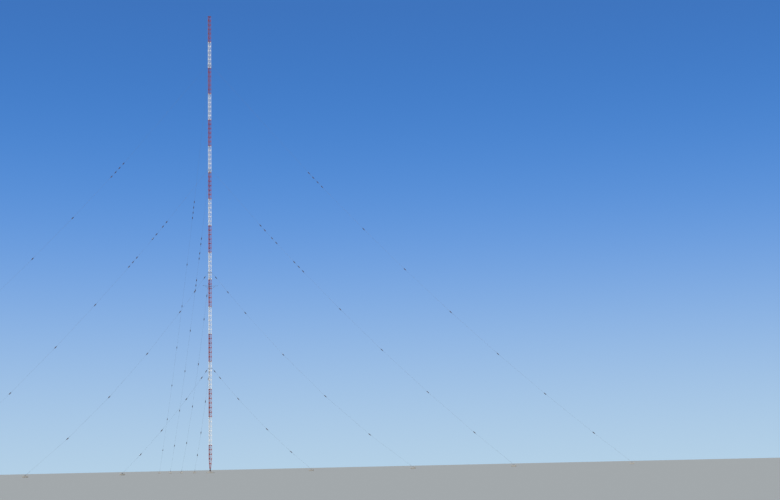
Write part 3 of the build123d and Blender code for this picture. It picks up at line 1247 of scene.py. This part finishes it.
@dataclass
class ClimbingLine(SubAssembly):
    """Cable run, rest platforms and cabinets beside the ladder, inside the shaft."""

    ladder: LadderPlan = LadderPlan()
    end_gap: float = 0.06
    cable_radii: tuple[float, ...] = (0.0016, 0.0012, 0.0012)
    cable_pitch: float = 0.0042
    cable_aside: float = 0.019
    clamp: Size = (0.0140, 0.0012, 0.0030)
    clamp_lead: float = 0.003
    junction: Size = (0.030, 0.022, 0.042)
    junction_edge: float = 0.0012
    junction_lift: float = 0.0066
    shelf_wall: float = 0.0016
    bearers: tuple[float, float] = (0.042, 0.082)
    bearer_radius: float = 0.0028
    deck: tuple[float, float] = (0.036, 0.098)
    deck_margin: float = 0.0115
    deck_wall: float = 0.0014
    toe_height: float = 0.009
    cabinet_sections: tuple[int, ...] = (8, 12)
    cabinet: Size = (0.042, 0.030, 0.056)
    cabinet_edge: float = 0.0015
    cabinet_lift: float = 0.032
    cabinet_back: float = -0.070
    conduit_back: float = -0.052
    conduit_aside: float = 0.012
    conduit_length: float = 0.130
    conduit_radius: float = 0.0018

    @property
    def run_aside(self) -> float:
        """Where the middle of the cable run is, aside from the face's middle."""
        return self.cable_aside + self.cable_pitch

    def build(self) -> None:
        """Build the cables with their box, and the platforms with their cabinets."""
        face = self.shaft.faces[self.ladder.side]
        cables = Workpiece("lamp_cables")
        self.add_cables(cables, face)
        self.add_junction(cables, face)
        cables.finish(self.finishes.shaded_steel)
        platforms = Workpiece("rest_platforms")
        for section in range(2, self.shaft.sections + 1):
            self.add_platform(platforms, face, self.shaft.nodes(section)[0])
        for section in self.cabinet_sections:
            self.add_cabinet(platforms, face, self.shaft.nodes(section)[0])
        platforms.finish(self.finishes.shaded_steel)

    def add_cables(self, work: Workpiece, face: Face) -> None:
        """Add the lamp cables, clamped beside the ladder at every strut.

        Args:
            work: The workpiece that takes them in.
            face: The ladder's face of the shaft.
        """
        start, end, inside = self.ladder.start, self.shaft.top - self.end_gap, self.ladder.inside
        for place, radius in enumerate(self.cable_radii):
            aside = self.cable_aside + place * self.cable_pitch
            work.bar(face.middle(start, inside, aside), face.middle(end, inside, aside), radius)
        sections = range(1, self.shaft.sections + 1)
        struts = [height for section in sections for height in self.shaft.nodes(section)]
        seats = [
            face.seat(height, inside + self.clamp_lead, self.run_aside)
            for height in struts if height > start
        ]
        work.add(block(*self.clamp), seats)

    def add_junction(self, work: Workpiece, face: Face) -> None:
        """Add the box that the cables end in, on its shelf over the first full-width strut.

        Args:
            work: The workpiece that takes it in.
            face: The ladder's face of the shaft.
        """
        shelf = self.shaft.knee + self.junction_lift
        width, depth, height = self.junction
        seat = face.seat(shelf + height / 2, self.ladder.inside, self.run_aside)
        work.add(block(*self.junction, ease=self.junction_edge), [seat])
        reach = depth / 2 - self.ladder.inside
        seat = face.seat(shelf, -reach / 2, self.run_aside)
        work.add(block(width, reach, self.shelf_wall), [seat])

    def half_width(self, back: float) -> float:
        """Return half the shaft's width at a distance behind the ladder's face."""
        return (1.5 * self.shaft.leg_circle - back) / math.sqrt(3)

    def add_platform(self, work: Workpiece, face: Face, height: float) -> None:
        """Add one platform: two bearers from strut to strut, a deck and its toe boards.

        Args:
            work: The workpiece that takes it in.
            face: The ladder's face of the shaft.
            height: Height of the struts that carry it.
        """
        for back in self.bearers:
            half = self.half_width(back)
            ends = [face.middle(height, -back, aside) for aside in (-half, half)]
            work.bar(*ends, self.bearer_radius, sides=6)
        near, far = ((back, self.half_width(back) - self.deck_margin) for back in self.deck)
        corners = (near, (near[0], -near[1]), (far[0], -far[1]), far)
        seat = axes(face.middle(height + self.bearer_radius), UP, -face.outward)
        work.add(plate(corners, self.deck_wall), [seat])
        for first, second in zip(corners[1:], (*corners[2:], near)):
            start, end = (Vector((*corner, self.toe_height / 2)) for corner in (first, second))
            board = axes((start + end) / 2, end - start, UP)
            work.add(block(self.toe_height, self.deck_wall, (end - start).length), [seat @ board])

    def add_cabinet(self, work: Workpiece, face: Face, strut: float) -> None:
        """Add a small switch cabinet with its conduit on a platform.

        Args:
            work: The workpiece that takes it in.
            face: The ladder's face of the shaft.
            strut: Height of the struts that carry the platform.
        """
        floor = strut + self.bearer_radius + self.deck_wall
        seat = face.seat(floor + self.cabinet_lift, self.cabinet_back)
        work.add(block(*self.cabinet, ease=self.cabinet_edge), [seat])
        foot = face.middle(floor, self.conduit_back, self.conduit_aside)
        work.bar(foot, foot + UP * self.conduit_length, self.conduit_radius, sides=6)


@dataclass
class ObstructionLamps(SubAssembly):
    """Red lamps on short brackets: three at each guy level and three near the head."""

    reach: float = 0.026
    dome: Outline = ((0.0, 0.0), (0.0065, 0.0), (0.0065, 0.0104), (0.0052, 0.01408), (0.0, 0.016))
    dome_lift: float = 0.006
    socket: Outline = ((0.0, -0.003), (0.0045, -0.003), (0.008, 0.002), (0.008, 0.006), (0.0, 0.006))
    guard: Outline = ((0.0075, 0.0), (0.0088, 0.0096), (0.006, 0.01632), (0.0, 0.01792))
    guard_radius: float = 0.0005
    guard_bars: int = 4
    bracket_radius: float = 0.0018
    bracket_end: float = -0.001
    facets: int = 16

    def build(self) -> None:
        """Build the glasses, and the brackets with their sockets and guards."""
        heights = [self.guys.lamp_height(level) for level in self.guys.levels]
        heights.append(self.shaft.top - self.shaft.bay)
        sockets, brackets = [], []
        for height in heights:
            for face in self.shaft.faces:
                ends = [face.middle(height, out) for out in (self.reach, self.bracket_end)]
                brackets.append(ends)
                sockets.append(moved(*ends[0]))
        domes = each(sockets, lifted(self.dome_lift))
        glass = Workpiece("lamp_glasses")
        glass.add(turned(self.dome, self.facets), domes)
        glass.finish(self.finishes.glass)
        holder = Workpiece("lamp_brackets")
        holder.add(turned(self.socket, self.facets), sockets)
        guards = each(domes, around(self.guard_bars))
        holder.add(bent(self.guard, self.guard_radius, sides=5), guards)
        for ends in brackets:
            holder.bar(*ends, self.bracket_radius, sides=6)
        holder.finish(self.finishes.shaded_steel)


@dataclass
class BeltFittings(SubAssembly):
    """Bolts and stiffeners of the guy collars and of the spreader."""

    belt_half: float = 0.005
    belt_out: float = 0.0127
    splice: Size = (0.046, 0.012, 0.002)
    splice_bolts: tuple[float, ...] = (-0.017, -0.007, 0.007, 0.017)
    splice_bolt: Head = (0.0019, 0.0018)
    rib_foot: float = 0.0015
    rib: Outline = ((0.0, 0.005), (0.016, 0.005), (0.011, 0.017), (0.0, 0.024))
    rib_wall: float = 0.002
    spreader_bay: tuple[int, int] = (7, 5)
    spreader_reach: float = 0.470
    tip: Size = (0.004, 0.026, 0.026)
    tip_bolts: float = 0.009
    tip_bolt: Head = (0.002, 0.002)
    tie_drop: float = 0.150
    shoe_wall: float = 0.0016
    shoe_height: float = 0.020
    ear: Size = (0.014, 0.0046, 0.018)
    ear_out: float = 0.0058
    ear_bolt_out: float = 0.0065
    ear_bolt: Head = (0.0024, 0.0020)

    def build(self) -> None:
        """Build the fittings of every collar and of the spreader."""
        collars = Workpiece("collar_bolts")
        for level in self.guys.levels:
            self.add_belt(collars, self.guys.collar_height(level))
            self.add_lug_ribs(collars, self.guys.collar_height(level))
        collars.finish(self.finishes.steel)
        spreader = Workpiece("spreader_fittings")
        height = self.shaft.bay_middle(*self.spreader_bay)
        self.add_belt(spreader, height)
        self.add_tips(spreader, height)
        shoes = [moved(self.shaft.leg_circle, 0.0, height - self.tie_drop)]
        spreader.add(self.tie_shoe(), each(self.shaft.turns, shoes))
        spreader.finish(self.finishes.shaded_steel)

    def add_belt(self, work: Workpiece, height: float) -> None:
        """Add the splice plates and bolts in the middle of each side of a belt.

        Args:
            work: The workpiece that takes them in.
            height: Height of the belt's middle.
        """
        wall = self.splice[2]
        for face in self.shaft.faces:
            for facing in (1.0, -1.0):
                middle = height + facing * (self.belt_half + wall / 2)
                work.add(block(*self.splice), [face.seat(middle, self.belt_out)])
                outer = height + facing * (self.belt_half + wall)
                for aside in self.splice_bolts:
                    seat = face.seat(outer, self.belt_out, aside, UP * facing)
                    work.add(bolt(*self.splice_bolt), [seat])

    def add_lug_ribs(self, work: Workpiece, height: float) -> None:
        """Add the gusset that stiffens each lug against its belt, above and below it.

        Args:
            work: The workpiece that takes them in.
            height: Height of the belt's middle.
        """
        root = self.shaft.leg_circle + self.shaft.leg_radius + self.rib_foot
        rib = upright(self.rib_wall)
        sides = [moved(root, 0.0, height) @ turned_to(flip, "X") @ rib for flip in (0.0, 180.0)]
        work.add(plate(self.rib, self.rib_wall), each(self.shaft.turns, sides))

    def add_tips(self, work: Workpiece, height: float) -> None:
        """Add the bolted plate at the end of each arm of the spreader.

        Args:
            work: The workpiece that takes them in.
            height: Height of the arms.
        """
        half_wall, bolts = self.tip[0] / 2, (-self.tip_bolts, self.tip_bolts)
        tips = each(self.shaft.turns, [moved(self.spreader_reach - half_wall, 0.0, height)])
        work.add(block(*self.tip), tips)
        inward = turned_to(-90.0, "Y")
        spots = [moved(-half_wall, y, z) @ inward for y in bolts for z in bolts]
        work.add(bolt(*self.tip_bolt), each(tips, spots))

    def tie_shoe(self) -> BMesh:
        """Make the band round a leg that takes the lower end of a tie, with its ear and bolts.

        Returns:
            The shape, with the leg's axis on Z.
        """
        shoe, leg = Workpiece("tie_shoe"), self.shaft.leg_radius
        band = rod(self.shoe_height, leg + self.shoe_wall, sides=20)
        shoe.add(band, lifted(-self.shoe_height / 2))
        shoe.add(block(*self.ear), [moved(leg + self.ear_out)])
        for side in (-1.0, 1.0):
            spot = moved(leg + self.ear_bolt_out, side * self.ear[1] / 2)
            shoe.add(bolt(*self.ear_bolt), [spot @ turned_to(-side * 90.0, "X")])
        return shoe.as_shape()


@dataclass(frozen=True)
class RopeLink:
    """End fitting of an insulator: its cap, clevis, pin and rope socket.

    Its heights count outwards from the end of the porcelain.
    """

    cap: Outline = ((0.0, -0.003), (0.0165, -0.003), (0.0165, 0.004), (0.009, 0.013), (0.0, 0.013))
    cheek: Size = (0.0025, 0.011, 0.024)
    cheek_aside: float = 0.0045
    cheek_lift: float = 0.021
    pin: Bar = (0.018, 0.0026, 8)
    pin_lift: float = 0.028
    socket_foot: float = 0.024
    socket_radii: tuple[float, float] = (0.0058, 0.0032)
    facets: int = 14

    def shape(self, base: float, end: float) -> BMesh:
        """Make the link.

        Args:
            base: Height of the end of the porcelain.
            end: Height where the rope starts.

        Returns:
            The shape, along +Z.
        """
        work, foot = Workpiece("link"), base + self.socket_foot
        work.add(turned([(radius, base + rise) for radius, rise in self.cap], self.facets))
        work.add(block(*self.cheek), pair(self.cheek_aside, base + self.cheek_lift))
        work.add(rod(*self.pin), [crosswise(-self.pin[0] / 2, base + self.pin_lift)])
        wide, narrow = self.socket_radii
        work.add(rod(end - foot, wide, sides=10, end_radius=narrow), lifted(foot))
        return work.as_shape()


@dataclass(frozen=True)
class Shackle:
    """Clevis, pin and rope socket on a collar's lug, with the pin at the origin."""

    cheek: Size = (0.0026, 0.013, 0.034)
    cheek_aside: float = 0.0050
    cheek_lift: float = 0.009
    bridge: Size = (0.0126, 0.013, 0.008)
    bridge_lift: float = 0.022
    socket: Bar = (0.034, 0.0065, 12, 0.0032)
    socket_foot: float = 0.025
    pin: Bar = (0.020, 0.0034, 10)
    head: Head = (0.0052, 0.003)
    head_aside: float = 0.0063
    nut: Bar = (0.0025, 0.0052, 12)
    nut_aside: float = -0.0088

    def shape(self) -> BMesh:
        """Make the shackle.

        Returns:
            The shape, with the rope along +Z.
        """
        work = Workpiece("shackle")
        work.add(block(*self.cheek), pair(self.cheek_aside, self.cheek_lift))
        work.add(block(*self.bridge), lifted(self.bridge_lift))
        work.add(rod(*self.socket), lifted(self.socket_foot))
        work.add(rod(*self.pin), [crosswise(-self.pin[0] / 2)])
        work.add(bolt(*self.head), [crosswise(self.head_aside)])
        work.add(rod(*self.nut), [crosswise(self.nut_aside)])
        return work.as_shape()


@dataclass
class Guys(SubAssembly):
    """Ropes, insulators and shackles of all guys."""

    rope_radius: float = 0.0019
    rope_sides: int = 10
    grip_length: float = 0.110
    grip_share: float = 1.45
    core_radius: float = 0.0135
    shed: Outline = ((0.0, 0.0), (0.009, 0.42), (0.009, 0.55), (0.0, 1.0))
    sheds: int = 6
    shed_margin: float = 0.004
    half_porcelain: float = 0.058
    facets: int = 14
    smooth_glaze: float = 50.0
    link: RopeLink = RopeLink()
    shackle: Shackle = Shackle()

    def build(self) -> None:
        """Build the ropes, the insulators with their links, and the collar shackles."""
        shackles = Workpiece("collar_shackles")
        for level in self.guys.levels:
            for way, turn in enumerate(self.shaft.turns, 1):
                self.build_rope(level, way, turn)
            self.build_insulators(level)
            start, end = self.guys.spans(level)[0]
            pin = axes(self.guys.point(level, 0.0), end - start, SIDEWAYS)
            shackles.add(self.shackle.shape(), each(self.shaft.turns, [pin]))
        shackles.finish(self.finishes.steel)

    def strand(self, length: float, radius: float) -> BMesh:
        """Make a rope along +Z from the origin, with a map that runs round and along it.

        Args:
            length: Length of the rope.
            radius: Radius of the rope.

        Returns:
            The shape, with its map named lay.
        """
        shape = rod(length, radius, self.rope_sides)
        lay = shape.loops.layers.uv.new("lay")
        for face in shape.faces:
            middle = face.calc_center_median()
            centre = math.atan2(middle.y, middle.x) / math.tau
            for loop in face.loops:
                turn = math.atan2(loop.vert.co.y, loop.vert.co.x) / math.tau
                loop[lay].uv = (turn - round(turn - centre), loop.vert.co.z)
        return shape

    def build_rope(self, level: int, way: int, turn: Matrix) -> None:
        """Build one guy's spans of rope, thicker at both ends where the strand is served.

        Args:
            level: Number of its level, from 0.
            way: Number of its direction, from 1.
            turn: The turn to its direction.
        """
        work = Workpiece(f"strand_{level + 1}_{way}")
        work.mesh.loops.layers.uv.new("lay")
        for start, end in self.guys.spans(level):
            place, length = turn @ aimed(start, end), (end - start).length
            work.add(self.strand(length, self.rope_radius), [place])
            grip = min(self.grip_length, length / 3)
            grips = each([place], lifted(0.0, length - grip))
            work.add(self.strand(grip, self.rope_radius * self.grip_share), grips)
        work.finish(self.finishes.by_slot[Slot.WIRE], [f"guy_rope_{level + 1}_{way}"])

    def build_insulators(self, level: int) -> None:
        """Build the insulators of one level and the links at their ends.

        Args:
            level: Number of the level, from 0.
        """
        places = each(self.shaft.turns, self.guys.insulators(level))
        margin, facets = self.shed_margin, self.facets
        end = self.half_porcelain - margin
        body = Workpiece(f"porcelain_{level + 1}")
        body.add(ribbed(self.core_radius, self.shed, self.sheds, -end, end, margin, facets), places)
        glaze = self.finishes.by_slot[Slot.BROWN]
        body.finish(glaze, [f"guy_insulators_{level + 1}"], self.smooth_glaze)
        steel = Workpiece(f"insulator_links_{level + 1}")
        shape = self.link.shape(self.half_porcelain, self.guys.insulator_length / 2)
        steel.add(shape, each(places, [turned_to(flip, "X") for flip in (0.0, 180.0)]))
        steel.finish(self.finishes.shaded_steel)


@dataclass(frozen=True)
class Turnbuckle:
    """Turnbuckle with its rope socket, two threaded rods, and jaws round the anchor's lug."""

    body: Bar = (0.120, 0.0026, 8)
    body_aside: float = 0.0062
    nut: Bar = (0.012, 0.0096, 6)
    nut_ends: tuple[float, float] = (0.004, 0.008)
    thread_radius: float = 0.0034
    thread_foot: float = 0.030
    thread_bite: float = 0.018
    thread_grip: float = 0.040
    jaw: Size = (0.0030, 0.013, 0.030)
    jaw_aside: float = 0.00682
    jaw_drop: float = 0.010
    bridge: Size = (0.0168, 0.013, 0.007)
    bridge_drop: float = 0.0285
    pin: Bar = (0.024, 0.0036, 10)
    socket: Bar = (0.034, 0.0034, 12, 0.0070)

    def shape(self, length: float) -> BMesh:
        """Make the turnbuckle.

        Args:
            length: Distance from the rope's end to the anchor's pin.

        Returns:
            The shape, from the rope at the origin along +Z.
        """
        work = Workpiece("turnbuckle")
        low = (length - self.body[0]) / 2
        high = low + self.body[0]
        work.add(rod(*self.body), pair(self.body_aside, low))
        work.add(block(*self.jaw), pair(self.jaw_aside, length - self.jaw_drop))
        below, above = self.nut_ends
        work.add(rod(*self.nut), lifted(low - below, high - above))
        thread = rod(low + self.thread_bite, self.thread_radius, sides=10)
        work.add(thread, lifted(self.thread_foot, high - self.thread_grip))
        work.add(block(*self.bridge), lifted(length - self.bridge_drop))
        work.add(rod(*self.pin), [crosswise(-self.pin[0] / 2, length)])
        work.add(rod(*self.socket))
        return work.as_shape()


@dataclass
class AnchorGear(SubAssembly):
    """Anchor lugs, base plates and turnbuckles of all guys, one piece for each direction."""

    block_height: float = 0.080
    lug_height: float = 0.044
    lug_length: float = 0.070
    lug_wall: float = 0.010
    arc_steps: int = 12
    foot: Size = (0.110, 0.072, 0.004)
    foot_edge: float = 0.0008
    foot_lift: float = 0.0021
    foot_bolts: tuple[float, float] = (0.045, 0.027)
    foot_bolt: Head = (0.0052, 0.004)
    turnbuckle: Turnbuckle = Turnbuckle()

    def build(self) -> None:
        """Build the gear of the three directions."""
        feet, starts = [], []
        for level in self.guys.levels:
            feet.append(moved(self.guys.anchor_radii[level], 0.0, self.block_height))
            begin, end = self.guys.tensioner_ends(level)
            starts.append(axes(begin, end - begin, SIDEWAYS))
        for way, turn in enumerate(self.shaft.turns, 1):
            work = Workpiece(f"anchor_gear_{way}")
            work.add(self.lug(), each([turn], feet))
            work.add(self.turnbuckle.shape(self.guys.tensioner), each([turn], starts))
            work.finish(self.finishes.steel, [f"anchor_fittings_{way}"])

    def lug(self) -> BMesh:
        """Make a round-topped lug with its base plate and holding-down bolts.

        Returns:
            The shape, on the XY plane.
        """
        work, half = Workpiece("lug"), self.lug_length / 2
        pin = self.guys.pin_height - self.block_height
        crown = self.lug_height - pin
        arc = [math.pi * step / self.arc_steps for step in range(self.arc_steps + 1)]
        crown_points = [(crown * math.cos(turn), pin + crown * math.sin(turn)) for turn in arc]
        outline = [(-half, 0.0), (half, 0.0), *crown_points]
        work.add(plate(outline, self.lug_wall), [upright(self.lug_wall)])
        work.add(block(*self.foot, ease=self.foot_edge, steps=1), lifted(self.foot_lift))
        x, y = self.foot_bolts
        corners = [moved(side * x, end * y, self.foot[2]) for side in (-1, 1) for end in (-1, 1)]
        work.add(bolt(*self.foot_bolt), corners)
        return work.as_shape()


@dataclass
class MastFoot(SubAssembly):
    """Base insulator, its spark gap, and the bolts and ribs round it.

    The lower horn's heights count from the bed, and the upper one's from the insulator's top.
    """

    bed_top: float = 0.086
    insulator_height: float = 0.110
    cap_height: float = 0.014
    cap: Outline = (
        (0.0, 0.0), (0.042, 0.0), (0.042, 0.0045), (0.038, 0.006), (0.036, 0.013), (0.034, 0.014),
        (0.0, 0.014),
    )
    core_radius: float = 0.029
    shed: Outline = (
        (0.0, 0.10), (0.0095, 0.16), (0.0115, 0.26), (0.0085, 0.40), (0.002, 0.66), (0.0, 0.78),
    )
    sheds: int = 4
    sunk: float = 0.002
    facets: int = 48
    lower_horn: Outline = ((0.054, 0.0), (0.058, 0.018), (0.060, 0.035))
    upper_horn: Outline = ((0.040, 0.004), (0.052, 0.002), (0.060, -0.012))
    horn_circle: float = 0.060
    horn_radius: float = 0.0018
    horn_angle: float = 45.0
    tip_lift: float = 0.011
    ball_lift: float = 0.008
    ball_radius: float = 0.0052
    bolts: int = 8
    bed_bolts: float = 0.0505
    bed_bolt: Head = (0.0044, 0.0040)
    washer: Bar = (0.0012, 0.0052, 16)
    flange_bolts: float = 0.040
    flange_bolt: Head = (0.0034, 0.0028)
    shoe_flange_height: float = 0.008
    ribs: int = 6
    rib: Outline = ((0.019, 0.0), (0.034, 0.0), (0.042, 0.038), (0.016, 0.038))
    rib_wall: float = 0.003

    @property
    def top(self) -> float:
        """Height of the insulator's upper face."""
        return self.bed_top + self.insulator_height

    def build(self) -> None:
        """Build the insulator, the spark gap and the fasteners of the foot."""
        self.build_insulator()
        self.build_spark_gap()
        self.build_fasteners()

    def build_insulator(self) -> None:
        """Build the porcelain body and its two cast caps."""
        low, high = self.bed_top + self.cap_height, self.top - self.cap_height
        body = Workpiece("base_porcelain")
        body.add(
            ribbed(self.core_radius, self.shed, self.sheds, low, high, self.sunk, self.facets)
        )
        body.finish(self.finishes.by_slot[Slot.BASE], ["base_insulator"])
        caps = Workpiece("base_caps")
        upside_down = moved(z=self.top) @ turned_to(180.0, "X")
        caps.add(turned(self.cap, self.facets), [moved(z=self.bed_top), upside_down])
        caps.finish(self.finishes.shaded_steel)

    def build_spark_gap(self) -> None:
        """Build the two pairs of horns with balls that stand across the insulator."""
        work = Workpiece("spark_gap")
        middle, sides = self.bed_top + self.insulator_height / 2, around(2, self.horn_angle)
        for horn, root, way in ((self.lower_horn, self.bed_top, -1), (self.upper_horn, self.top, 1)):
            path = [(out, root + rise) for out, rise in horn]
            path.append((self.horn_circle, middle + way * self.tip_lift))
            work.add(bent(path, self.horn_radius, sides=8), sides)
            ball = bmesh.new()
            bmesh.ops.create_uvsphere(ball, u_segments=16, v_segments=10, radius=self.ball_radius)
            spot = moved(self.horn_circle, 0.0, middle + way * self.ball_lift)
            work.add(ball, each(sides, [spot]))
        work.finish(self.finishes.steel)

    def build_fasteners(self) -> None:
        """Build the foundation bolts, the shoe's flange bolts and its upright ribs."""
        work, turns = Workpiece("foot_fasteners"), around(self.bolts, 180.0 / self.bolts)
        flange = self.top + self.shoe_flange_height
        work.add(rod(*self.washer), each(turns, [moved(self.bed_bolts, 0.0, self.bed_top)]))
        head = moved(self.bed_bolts, 0.0, self.bed_top + self.washer[0])
        work.add(bolt(*self.bed_bolt), each(turns, [head]))
        head = moved(self.flange_bolts, 0.0, flange)
        work.add(bolt(*self.flange_bolt), each(turns, [head]))
        ribs = each(around(self.ribs, self.shaft.directions[0]), [moved(z=flange)])
        work.add(plate(self.rib, self.rib_wall), each(ribs, [upright(self.rib_wall)]))
        work.finish(self.finishes.steel)


# The studio


@dataclass(frozen=True)
class PhotoCamera:
    """The camera of the photograph, fitted to the mast and its guys."""

    distance: float = 67.94
    eye_height: float = 0.17
    stand: float = 5.84
    yaw: float = 8.40
    tilt: float = 7.81
    roll: float = -1.26
    focal_pixels: float = 1231.6
    shift_pixels: float = 47.0
    image_width: float = 780.0
    sensor: float = 36.0
    clip: tuple[float, float] = (0.5, 2000.0)

    def place(self) -> Matrix:
        """Work out where the camera stands and how it is turned.

        Returns:
            The matrix of its place.
        """
        yaw, tilt, roll = (math.radians(angle) for angle in (self.yaw, self.tilt, self.roll))
        level = Vector((math.cos(yaw), -math.sin(yaw), 0.0))
        ahead = Vector((math.sin(yaw), math.cos(yaw), 0.0)) * math.cos(tilt) + UP * math.sin(tilt)
        above = level.cross(ahead)
        right = level * math.cos(roll) + above * math.sin(roll)
        upper = above * math.cos(roll) - level * math.sin(roll)
        turn = Matrix((right, upper, -ahead)).transposed().to_4x4()
        return turned_to(self.stand) @ moved(0.0, -self.distance, self.eye_height) @ turn

    def build(self) -> None:
        """Set up the camera."""
        data = bpy.data.cameras.new("photo_camera")
        data.sensor_width = self.sensor
        data.lens = self.focal_pixels / self.image_width * self.sensor
        data.shift_y = self.shift_pixels / self.image_width
        data.clip_start, data.clip_end = self.clip
        camera = placed("photo_camera", data)
        camera.matrix_world = self.place()
        bpy.context.scene.camera = camera


@dataclass(frozen=True)
class Sun:
    """A distant lamp: its strength, and in degrees how wide it looks and how it is turned."""

    name: str
    strength: float
    width: float
    turn: Size

    def build(self) -> None:
        """Put the lamp into the scene."""
        data = bpy.data.lights.new(self.name, "SUN")
        data.energy = self.strength
        data.angle = math.radians(self.width)
        placed(self.name, data).rotation_euler = [math.radians(angle) for angle in self.turn]


@dataclass(frozen=True)
class Studio:
    """Plain pale floor and backdrop, with soft light from the front and above."""

    backdrop: tuple[Colour, ...] = ((0.53, 0.70, 0.80), (0.074, 0.285, 0.77), (0.044, 0.153, 0.46))
    backdrop_rise: float = 0.36
    floor_colour: Colour = (0.32, 0.345, 0.36)
    floor_radius: float = 900.0
    sky_strength: float = 0.70
    key: Sun = Sun("key_light", 2.0, 12.0, (55.0, 0.0, -24.0))
    fill: Sun = Sun("fill_light", 0.45, 60.0, (60.0, 0.0, 130.0))

    def build(self) -> None:
        """Build the floor, the lamps and the world."""
        bpy.context.scene.view_settings.view_transform = "Standard"
        self.build_floor()
        self.key.build()
        self.fill.build()
        self.build_world()

    def build_floor(self) -> None:
        """Build the floor as a wide disc at the height of the foundation's underside."""
        shape = bmesh.new()
        bmesh.ops.create_circle(shape, cap_ends=True, segments=96, radius=self.floor_radius)
        data = bpy.data.meshes.new("floor")
        shape.to_mesh(data)
        shape.free()
        recipe = Recipe("studio_floor", self.floor_colour)
        data.materials.append(recipe.dress(1.0, Specular_IOR_Level=0.0))
        placed("floor", data)

    def backdrop_colour(self, tree: NodeTree) -> NodeSocket:
        """Blend the backdrop's colours from the floor upwards.

        Args:
            tree: The world's node tree.

        Returns:
            The socket of the colour.
        """
        ahead = new_node(tree, "TexCoord").outputs["Generated"]
        rise = new_node(tree, "SeparateXYZ", {0: ahead}).outputs[2]
        share = new_node(tree, "MapRange", {"Value": rise, "From Max": self.backdrop_rise})
        blend = new_node(tree, "ValToRGB", {0: share.outputs[0]})
        blend.color_ramp.interpolation = "B_SPLINE"
        stops = blend.color_ramp.elements
        stops.new(0.5)
        for stop, colour in zip(stops, self.backdrop):
            stop.color = (*colour, 1.0)
        return blend.outputs[0]

    def build_world(self) -> None:
        """Light the scene evenly, and show the backdrop to the camera and in reflections."""
        world = bpy.data.worlds.new("studio")
        bpy.context.scene.world = world
        world.use_nodes = True
        tree = world.node_tree
        tree.nodes.clear()
        white = {"Color": (1.0, 1.0, 1.0, 1.0), "Strength": self.sky_strength}
        light = new_node(tree, "Background", white)
        view = new_node(tree, "Background", {"Color": self.backdrop_colour(tree)})
        path = new_node(tree, "LightPath").outputs
        seen = path["Is Camera Ray"]
        for name in ("Is Glossy Ray", "Is Transmission Ray"):
            seen = new_node(tree, "Math", {0: seen, 1: path[name]}, operation="MAXIMUM").outputs[0]
        mix = new_node(tree, "MixShader", {0: seen, 1: light.outputs[0], 2: view.outputs[0]})
        new_node(tree, "OutputWorld", {0: mix.outputs[0]})


def dress_kept_nodes(finishes: Finishes) -> None:
    """Give every CAD node that still shows its finish.

    Args:
        finishes: All finishes of the mast.
    """
    slots = {row["node"]: Slot(row["material_slot"]) for row in frame["record"]["subparts"]}
    for name, node in frame["nodes"].items():
        finish = finishes.by_slot[slots[name]]
        # The galvanised spreader takes the darker copy of the zinc finish, with painted shade in its
        # colour
        if name == "spreader_frame":
            finish = finishes.shaded_steel
        for place in node.material_slots:
            place.material = finish.material


def main() -> None:
    """Build every sub-assembly, in order from the foot to the anchors, and then the studio."""
    logging.basicConfig(level=logging.INFO, format="%(name)s %(message)s")
    shaft, finishes = ShaftPlan(), Finishes()
    shared = (shaft, GuyPlan(shaft), finishes)
    dress_kept_nodes(finishes)
    MastFoot(*shared).build()
    for number in range(1, shaft.sections + 1):
        PaintBand(*shared, number).build()
    for assembly in (ClimbingLine, BeltFittings, ObstructionLamps, Guys, AnchorGear):
        assembly(*shared).build()
    Studio().build()
    PhotoCamera().build()


if __name__ == "__main__":
    main()
